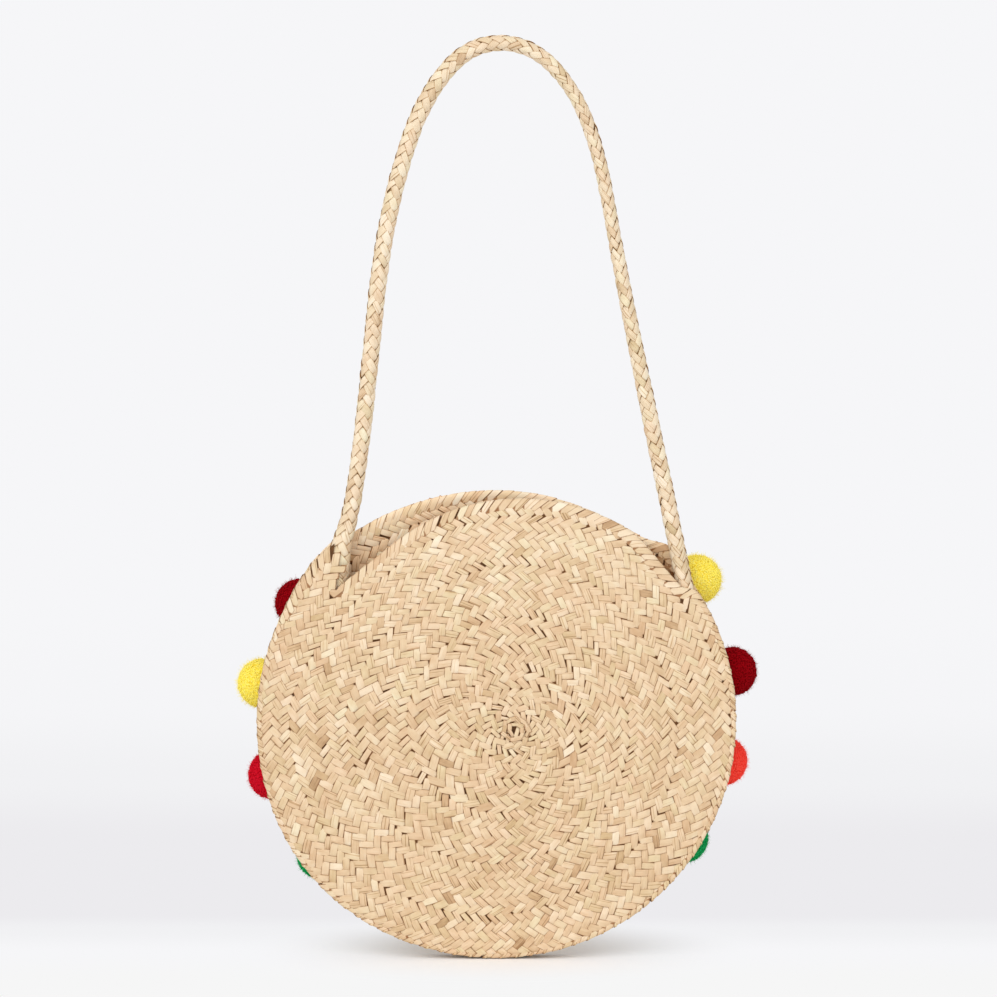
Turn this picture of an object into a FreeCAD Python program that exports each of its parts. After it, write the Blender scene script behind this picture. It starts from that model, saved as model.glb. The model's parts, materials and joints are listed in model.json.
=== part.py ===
import FreeCAD, Part
import math
import os

import Sketcher

# A round shoulder bag plaited from palm leaf. Two shallow dished discs face each other across a rim braid,
# the mouth is the open top of the rim, and one braided strap rises from the two corners of the mouth.
# Wool pom-poms are tied along both sides of the far disc.
# Frame: millimetres, +Z up, origin under the crown of the strap, where a hook or a shoulder carries it.
# The plain disc faces -Y and the disc with the pom-poms faces +Y.

DRIVING_SIZES = {
    "panel_radius": 200,
    "panel_wall": 4,
    "dome_depth": 16,
    "panel_drop": 560,
    "seam_clearance": 0.3,
    "strap_diameter": 13,
    "strap_left_angle": 34.4,
    "strap_right_angle": 44,
    "pivot_rise": 14.5,
    "tail_left_length": 66,
    "tail_right_length": 40,
    "wrap_width": 5,
    "wrap_thickness": 0.6,
    "rim_left_angle": 50,
    "rim_right_angle": 60,
    "lacing_diameter": 1.6,
    "lacing_pitch": 12.5,
    "pompom_diameter": 41,
    "pompom_lean_angle": 30,
    "tie_root_inset": 14,
    "tie_length": 4.2,
    "tie_diameter": 2.5,
    "tie_clearance": 1.3,
    "knot_diameter": 5,
    "knot_thickness": 1.2,
    "knot_clearance": 0.7,
    "pompom_left_angle": 60.3,
    "pompom_left_step_angle": 22.9,
    "pompom_right_angle": 56.4,
    "pompom_right_step_angle": 22.6,
}

# Places on the edge of each mouth, across and above the centre of its disc: shares of the disc's radius
MOUTH_SHARES = {
    "plain_panel": {
        "notch": (-0.667, 0.553), "left": (-0.469, 0.7165), "top": (0.1, 0.938),
        "turn": (0.585, 0.783), "right": (0.775, 0.56),
    },
    "pompom_panel": {
        "notch": (-0.65, 0.748), "left": (-0.5, 0.841), "top": (0, 0.962),
        "turn": (0.55, 0.8136), "right": (0.67, 0.733),
    },
}
# How far above and beside the centre of its disc a mouth's cut is closed off, clear of the rim
LID_SHARE = 2

# Where each tie enters the disc, from the top down: steps round from the first, shares of the usual inset,
# and degrees its lean turns away from straight outward, positive downwards
TIE_PLACES = {
    "left": ((0.009, 1.54, 0), (0.967, 0.935, 0), (1.965, 1.157, 0), (3, 1.68, 0)),
    "right": ((0.02, 0.684, -17), (1.0265, 0.764, 0), (2.009, 1.243, 0), (2.987, 1.557, 0)),
}

# Places along each leg of the strap, from the pivot up:
# shares of the pivot's distance from the middle, and of its depth below the crown
LEG_SHARES = {
    "left": [
        (1, 1), (0.93, 0.851), (0.86, 0.647), (0.796, 0.449), (0.667, 0.263), (0.478, 0.105), (0.175, 0),
    ],
    "right": [
        (1, 1), (0.888, 0.804), (0.777, 0.614), (0.666, 0.409), (0.575, 0.224), (0.432, 0.09), (0.183, 0),
    ],
}
# How much of the shorter run beside a bend its arc may take up
BEND_SHARE = 0.45

doc = FreeCAD.newDocument("circle_bag")
sheet = doc.addObject("Spreadsheet::Sheet", "sizes")
for row, (alias, value) in enumerate(DRIVING_SIZES.items(), start=1):
    sheet.set(f"A{row}", alias)
    sheet.set(f"B{row}", str(value))
    sheet.setAlias(f"B{row}", alias)
doc.recompute()


def size(alias):
    return float(sheet.get(alias))


STRAP_RADIUS = size("strap_diameter") / 2
HALF_GAP = "(sizes.strap_diameter / 2 + sizes.seam_clearance)"
PANEL_CENTRE = FreeCAD.Vector(0, 0, -size("panel_drop"))
X_AXIS, Y_AXIS, Z_AXIS = FreeCAD.Vector(1, 0, 0), FreeCAD.Vector(0, 1, 0), FreeCAD.Vector(0, 0, 1)
nodes = []


def radial(angle):
    """Direction from the disc's centre, by the angle from straight up, positive to the right."""
    turn = math.radians(angle)
    return FreeCAD.Vector(math.sin(turn), 0, math.cos(turn))


def turned(direction, base):
    """Placement that takes +Z to a direction and the origin to a base point."""
    return FreeCAD.Placement(base, FreeCAD.Rotation(Z_AXIS, direction))


def origin_plane(body, role):
    return next(f for f in body.Origin.OriginFeatures if f.Role == role)


def sketch_on(body, name, role):
    sketch = body.newObject("Sketcher::SketchObject", name)
    sketch.AttachmentSupport = (origin_plane(body, role), [""])
    sketch.MapMode = "FlatFace"
    return sketch


def pin_point(sketch, geometry, end, name, across, up):
    """Holds one end of a line or an arc at a place given by two expressions."""
    for axis, expression in (("X", across), ("Y", up)):
        place = sketch.getPoint(geometry, end)
        value = place.x if axis == "X" else place.y
        index = sketch.addConstraint(Sketcher.Constraint(f"Distance{axis}", -1, 1, geometry, end, value))
        sketch.renameConstraint(index, f"{name}_{axis.lower()}")
        sketch.setExpression(f"Constraints.{name}_{axis.lower()}", expression)


def arc_through(first, middle, last):
    return Part.Arc(*(FreeCAD.Vector(x, y, 0) for x, y in (first, middle, last)))


def dish_profile(body, side):
    """Half section of a dished disc: radius across, thickness along the disc's axis."""
    radius, wall, dome = size("panel_radius"), size("panel_wall"), size("dome_depth")
    gap = STRAP_RADIUS + size("seam_clearance")
    sketch = sketch_on(body, f"{body.Label}_section", "XY_Plane")
    corners = {
        "inner_pole": (0, side * (gap + dome)),
        "inner_rim": (radius, side * gap),
        "outer_rim": (radius, side * (gap + wall)),
        "outer_pole": (0, side * (gap + wall + dome)),
    }

    def dish_arc(rim, pole):
        drop = math.copysign((radius ** 2 + dome ** 2) / (2 * dome), side)
        centre = FreeCAD.Vector(0, pole[1] - drop, 0)
        toward = FreeCAD.Vector(rim[0], rim[1], 0) + FreeCAD.Vector(*pole, 0) - centre * 2
        middle = centre + toward.normalize() * abs(drop)
        return arc_through(rim, (middle.x, middle.y), pole)

    point = {name: FreeCAD.Vector(x, y, 0) for name, (x, y) in corners.items()}
    inner = sketch.addGeometry(dish_arc(corners["inner_rim"], corners["inner_pole"]))
    outer = sketch.addGeometry(dish_arc(corners["outer_rim"], corners["outer_pole"]))
    rim = sketch.addGeometry(Part.LineSegment(point["inner_rim"], point["outer_rim"]))
    middle = sketch.addGeometry(Part.LineSegment(point["inner_pole"], point["outer_pole"]))
    rim_end, pole_end = (1, 2) if side > 0 else (2, 1)
    for arc, line_end in ((inner, 1), (outer, 2)):
        sketch.addConstraint(Sketcher.Constraint("Coincident", arc, rim_end, rim, line_end))
        sketch.addConstraint(Sketcher.Constraint("Coincident", arc, pole_end, middle, line_end))
        sketch.addConstraint(Sketcher.Constraint("PointOnObject", arc, 3, -2))
    pin_point(sketch, rim, 1, "inner_rim", "sizes.panel_radius", f"{side} * {HALF_GAP}")
    pin_point(sketch, rim, 2, "outer_rim", "sizes.panel_radius",
              f"{side} * ({HALF_GAP} + sizes.panel_wall)")
    pin_point(sketch, middle, 1, "inner_pole", "0", f"{side} * ({HALF_GAP} + sizes.dome_depth)")
    pin_point(sketch, middle, 2, "outer_pole", "0",
              f"{side} * ({HALF_GAP} + sizes.dome_depth + sizes.panel_wall)")
    return sketch


def mouth_cut(body):
    """The disc's edge between the corners of the mouth dips below the full circle, straight at both ends."""
    radius, shares = size("panel_radius"), MOUTH_SHARES[body.Label]
    notch, left, top, turn, right = ((across * radius, rise * radius) for across, rise in shares.values())
    lid = LID_SHARE * radius
    sketch = sketch_on(body, f"{body.Label}_mouth", "XZ_Plane")
    edge = sketch.addGeometry(arc_through(turn, top, left))
    corners = [left, notch, (notch[0], lid), (lid, lid), (lid, right[1]), right, turn]
    places = [FreeCAD.Vector(x, z, 0) for x, z in corners]
    sides = [sketch.addGeometry(Part.LineSegment(a, b)) for a, b in zip(places, places[1:])]
    for before, after in zip(sides, sides[1:]):
        sketch.addConstraint(Sketcher.Constraint("Coincident", before, 2, after, 1))
    sketch.addConstraint(Sketcher.Constraint("Coincident", edge, 2, sides[0], 1))
    sketch.addConstraint(Sketcher.Constraint("Coincident", edge, 1, sides[5], 2))
    crest = sketch.addGeometry(Part.Point(FreeCAD.Vector(*top, 0)), True)
    sketch.addConstraint(Sketcher.Constraint("PointOnObject", crest, 1, edge))

    def pin(geometry, end, name, across, rise):
        pin_point(sketch, geometry, end, name,
                  f"{across} * sizes.panel_radius", f"{rise} * sizes.panel_radius")

    pin(crest, 1, "crest", *shares["top"])
    pin(sides[0], 1, "left", *shares["left"])
    pin(sides[0], 2, "notch", *shares["notch"])
    pin(sides[1], 2, "left_lid", shares["notch"][0], LID_SHARE)
    pin(sides[2], 2, "right_lid", LID_SHARE, LID_SHARE)
    pin(sides[3], 2, "right_side", LID_SHARE, shares["right"][1])
    pin(sides[4], 2, "right", *shares["right"])
    pin(sides[5], 2, "turn", *shares["turn"])
    return sketch


def dished_panel(label, side):
    """One plaited disc, domed outwards, with its edge cut down along the mouth."""
    body = doc.addObject("PartDesign::Body", label)
    section = dish_profile(body, side)
    dish = body.newObject("PartDesign::Revolution", f"{label}_dish")
    dish.Profile = section
    dish.ReferenceAxis = (section, ["V_Axis"])
    dish.Angle = 360
    doc.recompute()
    whole = dish.Shape.Volume
    mouth = mouth_cut(body)
    cut = body.newObject("PartDesign::Pocket", f"{label}_cut")
    cut.Profile = mouth
    cut.Type = "ThroughAll"
    cut.Midplane = True
    body.setExpression("Placement.Base.z", "-sizes.panel_drop")
    doc.recompute()
    if not body.Shape.Volume < whole:
        raise RuntimeError(f"the mouth of {label} cuts nothing")
    nodes.append(body)


def rim_ring():
    """The braid that keeps the two discs apart, from one corner of the mouth round to the other."""
    ring = doc.addObject("Part::Torus", "rim_braid")
    ring.setExpression("Radius1", "sizes.panel_radius - sizes.strap_diameter / 2")
    ring.setExpression("Radius2", "sizes.strap_diameter / 2")
    ring.setExpression("Angle3", "360 - sizes.rim_left_angle - sizes.rim_right_angle")
    flat = FreeCAD.Rotation(X_AXIS, -90)
    start = FreeCAD.Rotation(Y_AXIS, size("rim_right_angle") - 90)
    ring.Placement = FreeCAD.Placement(PANEL_CENTRE, start * flat)
    nodes.append(ring)


def rim_stitches():
    """Short laces over the edge of both discs, evenly spaced along the closed part of the rim."""
    radius = size("panel_radius") + size("lacing_diameter") / 2 + size("seam_clearance")
    first, last = size("rim_right_angle"), 360 - size("rim_left_angle")
    count = int(math.radians(last - first) * size("panel_radius") / size("lacing_pitch"))
    half = STRAP_RADIUS + size("seam_clearance") + size("panel_wall")
    laces = []
    for k in range(count + 1):
        foot = PANEL_CENTRE + radial(first + (last - first) * k / count) * radius - Y_AXIS * half
        laces.append(Part.makeCylinder(size("lacing_diameter") / 2, 2 * half, foot, Y_AXIS))
    group = doc.addObject("Part::Feature", "rim_lacing")
    group.Shape = Part.makeCompound(laces)
    nodes.append(group)


def strap_route():
    """Points of the strap from the left pivot over the crown to the right pivot."""
    rise = size("panel_radius") + size("pivot_rise")
    legs = []
    for side, sign in (("left", -1), ("right", 1)):
        pivot = PANEL_CENTRE + radial(sign * size(f"strap_{side}_angle")) * rise
        depth = STRAP_RADIUS - pivot.z
        legs.append([FreeCAD.Vector(pivot.x * a, 0, STRAP_RADIUS - depth * b) for a, b in LEG_SHARES[side]])
    return legs[0] + legs[1][::-1]


def rounded_path(points):
    """Straight runs joined by tangent arcs, each as large as its two runs allow."""
    edges = []
    start = points[0]
    for before, corner, after in zip(points, points[1:], points[2:]):
        back, ahead = before - corner, after - corner
        setback = BEND_SHARE * min(back.Length, ahead.Length)
        half_turn = (math.pi - back.getAngle(ahead)) / 2
        bend = setback / math.tan(half_turn)
        inward = (back.normalize() + ahead.normalize()).normalize()
        middle = corner + inward * (bend / math.cos(half_turn) - bend)
        entry, leave = corner + back * setback, corner + ahead * setback
        edges += [Part.LineSegment(start, entry).toShape(), Part.Arc(entry, middle, leave).toShape()]
        start = leave
    edges.append(Part.LineSegment(start, points[-1]).toShape())
    return Part.Wire(edges)


def strap_arch(points):
    """The braided strap, with rounded ends that turn in the corners of the mouth."""
    path = doc.addObject("Part::Feature", "strap_path")
    path.Shape = rounded_path(points)
    section = doc.addObject("Part::Circle", "strap_section")
    section.setExpression("Radius", "sizes.strap_diameter / 2")
    section.Placement = turned(points[1] - points[0], points[0])
    arch = doc.addObject("Part::Sweep", "strap_arch")
    arch.Sections = [section]
    arch.Spine = (path, [f"Edge{k + 1}" for k in range(len(path.Shape.Edges))])
    arch.Solid = True
    ends = []
    for name, pivot, next_point in (("left", points[0], points[1]), ("right", points[-1], points[-2])):
        ball = doc.addObject("Part::Sphere", f"strap_end_{name}")
        ball.setExpression("Radius", "sizes.strap_diameter / 2")
        ball.Angle1 = 0
        ball.Placement = turned(pivot - next_point, pivot)
        ends.append(ball)
    strap = doc.addObject("Part::MultiFuse", "strap")
    strap.Shapes = [arch, *ends]
    nodes.append(strap)
    doc.recompute()
    section_area = math.pi * STRAP_RADIUS ** 2
    print("strap length", round(path.Shape.Length, 1))
    print("strap volume share", round(arch.Shape.Volume / (section_area * path.Shape.Length), 4))


def strap_tail(name, pivot, next_point):
    """The sewn end of the strap between the discs, with a leaf wrapped round its foot."""
    along = (pivot - next_point).normalize()
    tail = doc.addObject("Part::Cylinder", f"strap_tail_{name}")
    tail.setExpression("Radius", "sizes.strap_diameter / 2")
    tail.setExpression("Height", f"sizes.tail_{name}_length")
    head = pivot + along * (STRAP_RADIUS + size("seam_clearance"))
    tail.Placement = turned(along, head)
    nodes.append(tail)
    band = doc.addObject("Part::Cylinder", f"wrap_outside_{name}")
    band.setExpression("Radius", "sizes.strap_diameter / 2 + sizes.wrap_thickness + sizes.seam_clearance")
    hole = doc.addObject("Part::Cylinder", f"wrap_inside_{name}")
    hole.setExpression("Radius", "sizes.strap_diameter / 2 + sizes.seam_clearance")
    for ring in (band, hole):
        ring.setExpression("Height", "sizes.wrap_width")
        ring.Placement = turned(along, head + along * (size(f"tail_{name}_length") - size("wrap_width")))
    wrap = doc.addObject("Part::Cut", f"strap_wrap_{name}")
    wrap.Base, wrap.Tool = band, hole
    nodes.append(wrap)


def dome_height(distance):
    """How far a disc stands out from its rim plane at a distance from its axis."""
    dome, radius = size("dome_depth"), size("panel_radius")
    ball = (radius ** 2 + dome ** 2) / (2 * dome)
    return math.sqrt(ball ** 2 - distance ** 2) - (ball - dome)


def pompoms():
    """Pom-poms on short ties along both sides of the far disc, and the knots that hold the ties inside."""
    lean = math.radians(size("pompom_lean_angle"))
    reach = size("tie_clearance") + size("tie_length") + size("pompom_diameter") / 2
    knots = []
    for side, sign in (("left", -1), ("right", 1)):
        for k, (steps, inset_share, lean_turn) in enumerate(TIE_PLACES[side]):
            root_radius = size("panel_radius") - size("tie_root_inset") * inset_share
            inner_face = STRAP_RADIUS + size("seam_clearance") + dome_height(root_radius)
            angle = size(f"pompom_{side}_angle") + steps * size(f"pompom_{side}_step_angle")
            outward = radial(sign * angle)
            inside = PANEL_CENTRE + outward * root_radius + Y_AXIS * inner_face
            root = inside + Y_AXIS * size("panel_wall")
            along = Y_AXIS * math.cos(lean) + radial(sign * (angle + lean_turn)) * math.sin(lean)
            tie = doc.addObject("Part::Cylinder", f"pompom_tie_{side}_{k + 1}")
            tie.setExpression("Radius", "sizes.tie_diameter / 2")
            tie.setExpression("Height", "sizes.tie_length")
            tie.Placement = turned(along, root + along * size("tie_clearance"))
            ball = doc.addObject("Part::Sphere", f"pompom_{side}_{k + 1}")
            ball.setExpression("Radius", "sizes.pompom_diameter / 2")
            ball.Placement = turned(along, root + along * reach)
            nodes.extend([ball, tie])
            foot = inside - Y_AXIS * (size("knot_clearance") + size("knot_thickness"))
            knots.append(Part.makeCylinder(size("knot_diameter") / 2, size("knot_thickness"), foot, Y_AXIS))
            print(f"pompom_{side}_{k + 1} hinge", [round(v, 3) for v in root])
    group = doc.addObject("Part::Feature", "tie_knots")
    group.Shape = Part.makeCompound(knots)
    nodes.append(group)


dished_panel("plain_panel", -1)
dished_panel("pompom_panel", 1)
rim_ring()
rim_stitches()
route = strap_route()
strap_arch(route)
strap_tail("left", route[0], route[1])
strap_tail("right", route[-1], route[-2])
pompoms()
doc.recompute()
print("strap pivots", [[round(v, 3) for v in p] for p in (route[0], route[-1])])

for item in doc.Objects:
    if "Invalid" in item.State or "Error" in item.State:
        raise RuntimeError(f"{item.Label} failed: {item.State}")
for node in nodes:
    if node.Shape.isNull() or not node.Shape.isValid():
        raise RuntimeError(f"{node.Label} has no sound shape")

os.makedirs("parts", exist_ok=True)
for node in nodes:
    node.Shape.exportStep(f"parts/{node.Label}.step")
    print(node.Label, len(node.Shape.Solids), round(node.Shape.Volume, 1))
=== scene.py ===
import functools
import json
import math

import bpy
import numpy as np
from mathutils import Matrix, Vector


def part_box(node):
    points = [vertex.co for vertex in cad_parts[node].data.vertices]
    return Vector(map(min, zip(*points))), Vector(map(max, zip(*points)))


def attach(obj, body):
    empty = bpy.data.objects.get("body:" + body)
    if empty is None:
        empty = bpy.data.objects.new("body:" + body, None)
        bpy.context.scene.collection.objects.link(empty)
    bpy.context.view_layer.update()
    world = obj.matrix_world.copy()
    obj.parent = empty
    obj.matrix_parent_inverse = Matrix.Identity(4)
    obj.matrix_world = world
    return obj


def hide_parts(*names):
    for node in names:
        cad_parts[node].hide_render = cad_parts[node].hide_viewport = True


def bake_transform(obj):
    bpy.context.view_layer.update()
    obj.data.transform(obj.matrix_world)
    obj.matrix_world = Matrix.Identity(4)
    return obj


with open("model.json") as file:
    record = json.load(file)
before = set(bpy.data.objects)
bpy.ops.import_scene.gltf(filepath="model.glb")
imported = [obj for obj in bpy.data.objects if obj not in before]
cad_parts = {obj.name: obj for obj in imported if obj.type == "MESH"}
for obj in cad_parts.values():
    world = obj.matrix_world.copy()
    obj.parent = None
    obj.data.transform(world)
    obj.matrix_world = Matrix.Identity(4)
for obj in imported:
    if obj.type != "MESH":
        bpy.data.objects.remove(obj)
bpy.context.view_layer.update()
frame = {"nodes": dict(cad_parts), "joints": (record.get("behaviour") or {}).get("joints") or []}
print("frame loaded:", len(frame["nodes"]), "nodes")

mm = 0.001
fullTurn = 2 * math.pi
smoothAngle = math.radians(50)
grainShift = 900  # each strip's grain starts somewhere in this many millimetres of leaf
oddTones = (0.15, 0.4)  # a few strips have dried darker
draw = np.random.default_rng(11)

# the round body of the bag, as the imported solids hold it
bag = {
    "centre": np.array([0.0, 0.0, -560.0]) * mm,
    "radius": 200 * mm,
    "wall": 4 * mm,
    "dome": 16 * mm,
    "halfGap": 6.8 * mm,
}
bag["ball"] = (bag["radius"] ** 2 + bag["dome"] ** 2) / (2 * bag["dome"])


def deselectAll():
    if bpy.context.object and bpy.context.object.mode != "OBJECT":
        bpy.ops.object.mode_set(mode="OBJECT")
    bpy.ops.object.select_all(action="DESELECT")


def linkAndSelect(item):
    bpy.context.collection.objects.link(item)
    deselectAll()
    item.select_set(True)
    bpy.context.view_layer.objects.active = item


# The points and faces of an object that is then thrown away
def takeMesh(item):
    points = np.array([item.matrix_world @ v.co for v in item.data.vertices])
    faces = [list(p.vertices) for p in item.data.polygons]
    bpy.data.objects.remove(item)
    return points, faces


def lengthOf(vectors):
    return np.linalg.norm(vectors, axis=-1)


def unit(vectors):
    return vectors / lengthOf(vectors)[..., None]


def smoothStep(low, high, value):
    t = np.clip((value - low) / (high - low), 0, 1)
    return t * t * (3 - 2 * t)


def heading(turn):
    return np.stack([np.sin(turn), np.cos(turn)], -1)


def wrapTurn(turn):
    return (turn + math.pi) % fullTurn - math.pi


def linear(hexColour):
    parts = [int(hexColour[k:k + 2], 16) / 255 for k in (1, 3, 5)]
    return [c / 12.92 if c <= 0.04045 else ((c + 0.055) / 1.055) ** 2.4 for c in parts] + [1]


# Adds a node with its settings and links. A link comes from a socket, or from the first output of a node
def addNode(tree, kind, settings=None, links=None):
    node = tree.nodes.new("ShaderNode" + kind)
    for name, value in (settings or {}).items():
        if isinstance(name, str) and hasattr(node, name):
            setattr(node, name, value)
        else:
            node.inputs[name].default_value = value
    for name, source in (links or {}).items():
        socket = source.outputs[0] if isinstance(source, bpy.types.Node) else source
        tree.links.new(socket, node.inputs[name])
    return node


def setRamp(node, stops):
    ramp = node.color_ramp
    while len(ramp.elements) < len(stops):
        ramp.elements.new(0.5)
    for element, (place, hexColour) in zip(ramp.elements, stops):
        element.position = place
        element.color = linear(hexColour)
    return node


# Clears the nodes of a material or a world, and gives what adds new ones to it
def nodeAdder(owner):
    owner.use_nodes = True
    owner.node_tree.nodes.clear()
    return functools.partial(addNode, owner.node_tree)


def newMaterial(name):
    material = bpy.data.materials.new(name)
    return material, nodeAdder(material)


# Noise along and across a strip of leaf, in millimetres: scale, detail and roughness
leafNoise = {
    "fibre": ((0.06, 1 / 0.7, 1), 3.0, 0.6),  # long along the strip, a fraction of a millimetre across
    "stain": ((0.11, 0.16, 1), 2.0, 0.5),  # dried in, a few millimetres across
    "split": ((0.012, 0.75, 1), 0.0, 0.5),  # a dark line along some strips, a third of a millimetre wide
    "cast": ((0.013, 0.017, 1), 1.0, 0.5),  # a little pinker or greener from strip to strip
}


# Dried palm leaf, split into flat strips: pale straw, satin along the grain, each strip its own tone
def palmLeaf(name, stops, paintedEdgeShade):
    material, add = newMaterial(name)
    tone = add("Attribute", {"attribute_name": "leafTone"}).outputs["Fac"]
    edge = add("Attribute", {"attribute_name": "leafEdge"}).outputs["Fac"]
    run = add("UVMap", {"uv_map": "leafRun"})
    noise = {}
    for label, (scale, detail, roughness) in leafNoise.items():
        stretched = add("Mapping", {"Scale": scale}, {"Vector": run})
        noise[label] = add("TexNoise", {"Scale": 1.0, "Detail": detail, "Roughness": roughness},
                           {"Vector": stretched})
    fibre = add("Math", {"operation": "MULTIPLY_ADD", 1: 0.34, 2: -0.17}, {0: noise["fibre"]})
    stain = add("Math", {"operation": "MULTIPLY_ADD", 1: 0.5, 2: -0.25}, {0: noise["stain"]})
    split = add("MapRange", {"From Min": 0.69, "From Max": 0.75, "To Max": -0.38}, {"Value": noise["split"]})
    grain = add("Math", {"operation": "ADD"}, {0: fibre, 1: stain})
    shift = add("Math", {"operation": "ADD"}, {0: grain, 1: split})
    mixed = add("Math", {"operation": "ADD", "use_clamp": True}, {0: tone, 1: shift})
    straw = setRamp(add("ValToRGB", {}, {"Fac": mixed}), stops)
    cast = setRamp(add("ValToRGB", {}, {"Fac": noise["cast"]}),
                   [(0.3, "#FFF8F4"), (0.5, "#FFFDFA"), (0.7, "#FBFDF3")])
    leaf = add("Mix", {"data_type": "RGBA", "blend_type": "MULTIPLY", 0: 1.0}, {6: straw, 7: cast})
    # painted shade: strips are darker along their edges, as thin shadow lines between them, and where their
    # ends pass under the next strip
    edgeShadeMask = add("MapRange", {"interpolation_type": "SMOOTHSTEP", "From Min": 0.8}, {"Value": edge})
    shaded = add("Mix", {"data_type": "RGBA", "blend_type": "MULTIPLY", 7: linear(paintedEdgeShade)},
                 {0: edgeShadeMask, 6: leaf.outputs[2]})
    rough = add("MapRange", {"To Min": 0.42, "To Max": 0.64}, {"Value": noise["fibre"]})
    bump = add("Bump", {"Strength": 0.35, "Distance": 0.25 * mm}, {"Height": noise["fibre"]})
    surface = add("BsdfPrincipled", {"IOR": 1.45, "Specular IOR Level": 0.35},
                  {"Base Color": shaded.outputs[2], "Roughness": rough, "Normal": bump})
    add("OutputMaterial", {}, {"Surface": surface})
    return material


# The leaf under the floats, seen only through the pinholes of the plait, coloured dark brown as painted shade
def shadedLeaf():
    material, add = newMaterial("shadedPalmLeaf")
    place = add("TexCoord").outputs["Object"]
    fleck = add("TexNoise", {"Scale": 1 / (6 * mm), "Detail": 3.0}, {"Vector": place})
    tint = setRamp(add("ValToRGB", {}, {"Fac": fleck}), [(0.3, "#45280A"), (0.7, "#70461A")])
    bump = add("Bump", {"Strength": 0.5, "Distance": 0.4 * mm}, {"Height": fleck})
    surface = add("BsdfPrincipled", {"Roughness": 0.8}, {"Base Color": tint, "Normal": bump})
    add("OutputMaterial", {}, {"Surface": surface})
    return material


# Cut wool yarn: matt, each yarn end a little lighter or darker at random, and darker deeper in the pile as
# painted shade
def cutWool(name, deep, usual, bright):
    material, add = newMaterial(name)
    tone = add("Attribute", {"attribute_name": "leafTone"}).outputs["Fac"]
    place = add("TexCoord").outputs["Object"]
    # wool fibre is drawn at half a millimetre, coarser than it is, so that it shows
    fibre = add("TexNoise", {"Scale": 1 / (0.5 * mm), "Detail": 2.0}, {"Vector": place})
    shift = add("Math", {"operation": "MULTIPLY_ADD", 1: 0.12, 2: -0.06}, {0: fibre})
    mixed = add("Math", {"operation": "ADD", "use_clamp": True}, {0: tone, 1: shift})
    tint = setRamp(add("ValToRGB", {}, {"Fac": mixed}), [(0.0, deep), (0.55, usual), (1.0, bright)])
    bump = add("Bump", {"Strength": 0.2, "Distance": 0.2 * mm}, {"Height": fibre})
    surface = add("BsdfPrincipled",
                  {"Roughness": 0.95, "Specular IOR Level": 0.06, "Sheen Weight": 0.3,
                   "Sheen Roughness": 0.5, "Sheen Tint": linear(bright)},
                  {"Base Color": tint, "Normal": bump})
    add("OutputMaterial", {}, {"Surface": surface})
    return material


strawStops = [(0.0, "#A8845E"), (0.3, "#D2B18A"), (0.6, "#E6CCA9"), (1.0, "#F8EAD2")]
# Inside stops: paler than the straw outside, as painted light; the darkest stop is browner for the painted
# shade in the mouth's corners
paintedLightInnerStops = [(0.0, "#A87448"), (0.3, "#E3C096"), (0.6, "#F9DDB8"), (1.0, "#FFF4DE")]
paleStops = [(0.0, "#BA9A73"), (0.3, "#E1C8A6"), (0.6, "#F3E2C7"), (1.0, "#FEF5E6")]
lacingStops = [(0.0, "#B08C62"), (0.4, "#D6B68C"), (1.0, "#ECD6B2")]
finishes = {
    "panelLeaf": palmLeaf("plaitedPalmLeaf", strawStops, "#A0703C"),
    "paintedLightInnerLeaf": palmLeaf("paintedLightInnerPalmLeaf", paintedLightInnerStops, "#B48A5C"),  # painted light: paler than the outside, to lift the shade between the discs
    "strapLeaf": palmLeaf("braidedPalmLeaf", paleStops, "#CCAC82"),
    "lacingLeaf": palmLeaf("twistedPalmLeaf", lacingStops, "#9C7648"),
    "shadedLeaf": shadedLeaf(),
    "crimson_wool": cutWool("crimsonWool", "#680008", "#8C0009", "#A20614"),
    "yellow_wool": cutWool("yellowWool", "#FFD438", "#FFEC54", "#FFF6A0"),
    "red_wool": cutWool("redWool", "#9C0012", "#CC0A22", "#E02038"),
    "orange_wool": cutWool("orangeWool", "#E02418", "#FF4438", "#FF6C58"),
    "green_wool": cutWool("greenWool", "#067038", "#0C9C50", "#30B872"),
    "tie_yarn": cutWool("tieYarn", "#A88B60", "#D8C49A", "#EEE0C0"),
}
print("finishes made:", len(finishes))


# One strip of leaf where it shows: a closed, slightly crowned patch from -1 to 1 both ways
def modelLeaf(along, across):
    deselectAll()
    bpy.ops.mesh.primitive_grid_add(x_subdivisions=along, y_subdivisions=across, size=2)
    leaf = bpy.context.object
    bpy.ops.object.mode_set(mode="EDIT")
    bpy.ops.mesh.select_mode(type="VERT")
    bpy.ops.mesh.select_all(action="DESELECT")
    bpy.ops.mesh.select_non_manifold()
    bpy.ops.mesh.edge_face_add()  # the underside
    bpy.ops.mesh.select_all(action="INVERT")
    bpy.ops.transform.translate(value=(0, 0, 1))  # the crown
    bpy.ops.mesh.select_all(action="SELECT")
    bpy.ops.mesh.normals_make_consistent(inside=False)
    bpy.ops.object.mode_set(mode="OBJECT")
    return takeMesh(leaf)


# The bag is not quite round: the strap draws its edge out on both sides of the mouth, and it sags to the
# lower left. Each pull is a turn in degrees, a spread in degrees and millimetres outward
sag = [(-47, 11.5, 3.2), (-131, 26, 3.0)]


def pulledOut(points, pulls):
    flat = points - bag["centre"]
    turn, radius = np.arctan2(flat[:, 0], flat[:, 2]), np.hypot(flat[:, 0], flat[:, 2])
    pull = sum(amount * mm * np.exp(-((np.degrees(turn) - middle) / spread) ** 2)
               for middle, spread, amount in pulls)
    pull = pull * (radius / bag["radius"]) ** 6
    return points + np.stack([np.sin(turn) * pull, 0 * pull, np.cos(turn) * pull], -1)


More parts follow.
